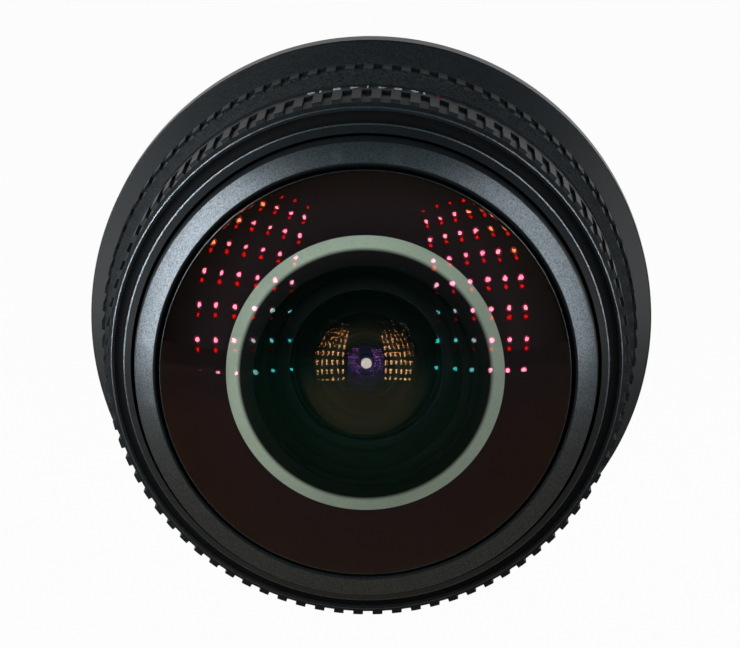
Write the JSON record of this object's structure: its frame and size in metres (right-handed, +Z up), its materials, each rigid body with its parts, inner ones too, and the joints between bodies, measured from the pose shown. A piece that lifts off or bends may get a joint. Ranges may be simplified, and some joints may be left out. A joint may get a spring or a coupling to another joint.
{
  "type": "fisheye lens",
  "caption": "Manual fisheye lens with a domed front glass, a toothed focus ring, a toothed aperture ring, a working iris and a bayonet mount.",
  "frame": {"origin": "centre of the bayonet's seat face, on the optical axis", "axes": "+Y to the rear along the optical axis, the front glass faces -Y, +Z up"},
  "size_m": [0.06, 0.047, 0.06],
  "materials": {
    "black_anodised": "black anodised, fine blasted satin",
    "bezel_blasted": "grey anodised, bead blasted",
    "cell_black": "anodised and painted matt black",
    "helicoid_brass": "turned and greased",
    "seal_rubber": "black rubber",
    "front_glass": "polished and coated",
    "inner_glass": "polished and coated",
    "bayonet_metal": "satin chromed brass",
    "screw_steel": "turned steel",
    "guide_brass": "turned brass",
    "baffle_plastic": "moulded matt black",
    "index_red": "glossy red bead",
    "iris_steel": "blackened steel"
  },
  "bodies": {
    "barrel": {"mount_base": "black_anodised", "mount_ring": "bayonet_metal", "mount_screws": "screw_steel", "rear_baffle": "baffle_plastic", "alignment_dot": "index_red", "skirt": "black_anodised", "scale_barrel": "black_anodised", "body_screws": "screw_steel", "guide_keys": "guide_brass", "key_screws": "screw_steel", "focus_stop_pin": "screw_steel"},
    "focus": {"focus_carrier": "helicoid_brass", "focus_ring": "black_anodised", "focus_guide_screws": "screw_steel", "focus_set_screws": "screw_steel", "trim_ring": "black_anodised"},
    "aperture": {"aperture_ring": "black_anodised", "aperture_fork": "guide_brass", "fork_screws": "screw_steel"},
    "cell": {"main_cell": "cell_black", "front_bezel": "bezel_blasted", "front_seal": "seal_rubber", "front_element": "front_glass", "second_element": "inner_glass", "second_retainer": "cell_black", "element_spacer": "cell_black", "third_element": "inner_glass", "front_crown": "inner_glass", "front_flint": "inner_glass", "doublet_retainer": "cell_black", "iris_housing": "iris_steel", "rear_cell": "cell_black", "rear_flint": "inner_glass", "rear_crown": "inner_glass", "rear_doublet_retainer": "cell_black", "rear_element": "inner_glass", "rear_retainer": "cell_black"},
    "iris": {"iris_ring": "iris_steel", "iris_drive_pin": "guide_brass"},
    "blade_1": {"iris_blade_1": "iris_steel"},
    "blade_2": {"iris_blade_2": "iris_steel"},
    "blade_3": {"iris_blade_3": "iris_steel"},
    "blade_4": {"iris_blade_4": "iris_steel"},
    "blade_5": {"iris_blade_5": "iris_steel"},
    "blade_6": {"iris_blade_6": "iris_steel"}
  },
  "joints": [
    {"name": "focus_turn", "type": "hinge", "parent": "barrel", "child": "focus", "pos_m": [0, -0.024, 0], "axis": [0, -1, 0], "range_deg": [0, 90]},
    {"name": "cell_slide", "type": "slide", "parent": "barrel", "child": "cell", "axis": [0, -1, 0], "range_m": [0, 0.0003]},
    {"name": "aperture_turn", "type": "hinge", "parent": "barrel", "child": "aperture", "pos_m": [0, -0.012, 0], "axis": [0, -1, 0], "range_deg": [0, 45]},
    {"name": "iris_turn", "type": "hinge", "parent": "cell", "child": "iris", "pos_m": [0, -0.011, 0], "axis": [0, -1, 0], "range_deg": [0, 45]},
    {"name": "blade_1_turn", "type": "hinge", "parent": "cell", "child": "blade_1", "pos_m": [0.0095, -0.013, 0], "axis": [0, -1, 0], "range_deg": [0, 18.73]},
    {"name": "blade_2_turn", "type": "hinge", "parent": "cell", "child": "blade_2", "pos_m": [0.00475, -0.013, 0.00823], "axis": [0, -1, 0], "range_deg": [0, 18.73]},
    {"name": "blade_3_turn", "type": "hinge", "parent": "cell", "child": "blade_3", "pos_m": [-0.00475, -0.013, 0.00823], "axis": [0, -1, 0], "range_deg": [0, 18.73]},
    {"name": "blade_4_turn", "type": "hinge", "parent": "cell", "child": "blade_4", "pos_m": [-0.0095, -0.013, 0], "axis": [0, -1, 0], "range_deg": [0, 18.73]},
    {"name": "blade_5_turn", "type": "hinge", "parent": "cell", "child": "blade_5", "pos_m": [-0.00475, -0.013, -0.00823], "axis": [0, -1, 0], "range_deg": [0, 18.73]},
    {"name": "blade_6_turn", "type": "hinge", "parent": "cell", "child": "blade_6", "pos_m": [0.00475, -0.013, -0.00823], "axis": [0, -1, 0], "range_deg": [0, 18.73]}
  ],
  "couplings": [
    {"joint": "cell_slide", "follows": "focus_turn", "m_per_rad": 0.00019099},
    {"joint": "iris_turn", "follows": "aperture_turn", "ratio": 1},
    {"joint": "blade_1_turn", "follows": "aperture_turn", "ratio": 0.41599},
    {"joint": "blade_2_turn", "follows": "aperture_turn", "ratio": 0.41599},
    {"joint": "blade_3_turn", "follows": "aperture_turn", "ratio": 0.41599},
    {"joint": "blade_4_turn", "follows": "aperture_turn", "ratio": 0.41599},
    {"joint": "blade_5_turn", "follows": "aperture_turn", "ratio": 0.41599},
    {"joint": "blade_6_turn", "follows": "aperture_turn", "ratio": 0.41599}
  ]
}
